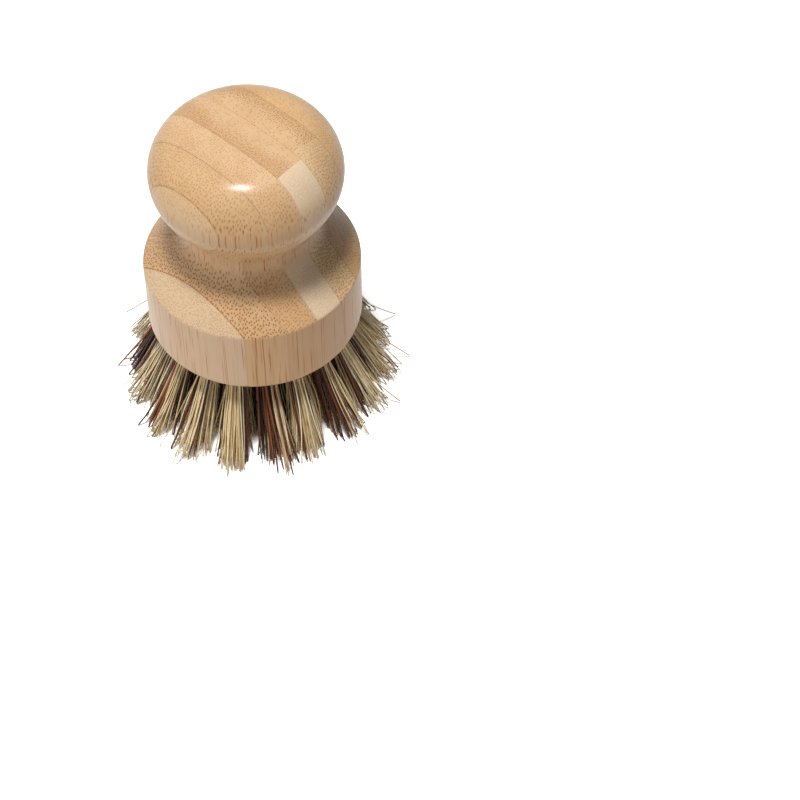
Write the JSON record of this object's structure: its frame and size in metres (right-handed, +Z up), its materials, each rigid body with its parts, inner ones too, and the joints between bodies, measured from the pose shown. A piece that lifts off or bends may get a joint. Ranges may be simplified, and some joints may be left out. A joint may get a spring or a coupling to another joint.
{
  "type": "dish brush",
  "caption": "Upright round dish brush: a turned handle of glued bamboo strips with a palm knob, a waisted neck and a round block, and rings of splayed plant-fibre tufts trimmed flat.",
  "frame": {"origin": "on the surface that the brush stands on, under the handle's axis", "axes": "+Z up along the handle's axis, +X along the rows of bamboo strips, +Y across the glue lines"},
  "size_m": [0.0724, 0.0712, 0.0892],
  "materials": {
    "bamboo": "satin varnish",
    "bamboo_pale": "satin varnish",
    "plant_fibre": "matte",
    "anchor_wire": "bright drawn"
  },
  "bodies": {
    "root": {"bamboo_back_1_left": "bamboo", "bamboo_back_1_right": "bamboo", "bamboo_back_2": "bamboo", "bamboo_back_3_block": "bamboo", "bamboo_back_3_knob": "bamboo", "bamboo_front_1_left": "bamboo", "bamboo_front_1_right": "bamboo_pale", "bamboo_front_2_left": "bamboo", "bamboo_front_2_right_block": "bamboo", "bamboo_front_2_right_knob": "bamboo", "bamboo_front_3": "bamboo", "bamboo_front_4_block": "bamboo_pale", "bamboo_front_4_knob": "bamboo_pale", "tuft_anchors": "anchor_wire", "tuft_centre": "plant_fibre", "tuft_inner_1": "plant_fibre", "tuft_inner_2": "plant_fibre", "tuft_inner_3": "plant_fibre", "tuft_inner_4": "plant_fibre", "tuft_inner_5": "plant_fibre", "tuft_inner_6": "plant_fibre", "tuft_middle_1": "plant_fibre", "tuft_middle_10": "plant_fibre", "tuft_middle_11": "plant_fibre", "tuft_middle_12": "plant_fibre", "tuft_middle_2": "plant_fibre", "tuft_middle_3": "plant_fibre", "tuft_middle_4": "plant_fibre", "tuft_middle_5": "plant_fibre", "tuft_middle_6": "plant_fibre", "tuft_middle_7": "plant_fibre", "tuft_middle_8": "plant_fibre", "tuft_middle_9": "plant_fibre", "tuft_outer_1": "plant_fibre", "tuft_outer_10": "plant_fibre", "tuft_outer_11": "plant_fibre", "tuft_outer_12": "plant_fibre", "tuft_outer_13": "plant_fibre", "tuft_outer_14": "plant_fibre", "tuft_outer_15": "plant_fibre", "tuft_outer_16": "plant_fibre", "tuft_outer_17": "plant_fibre", "tuft_outer_18": "plant_fibre", "tuft_outer_2": "plant_fibre", "tuft_outer_3": "plant_fibre", "tuft_outer_4": "plant_fibre", "tuft_outer_5": "plant_fibre", "tuft_outer_6": "plant_fibre", "tuft_outer_7": "plant_fibre", "tuft_outer_8": "plant_fibre", "tuft_outer_9": "plant_fibre"}
  },
  "joints": []
}
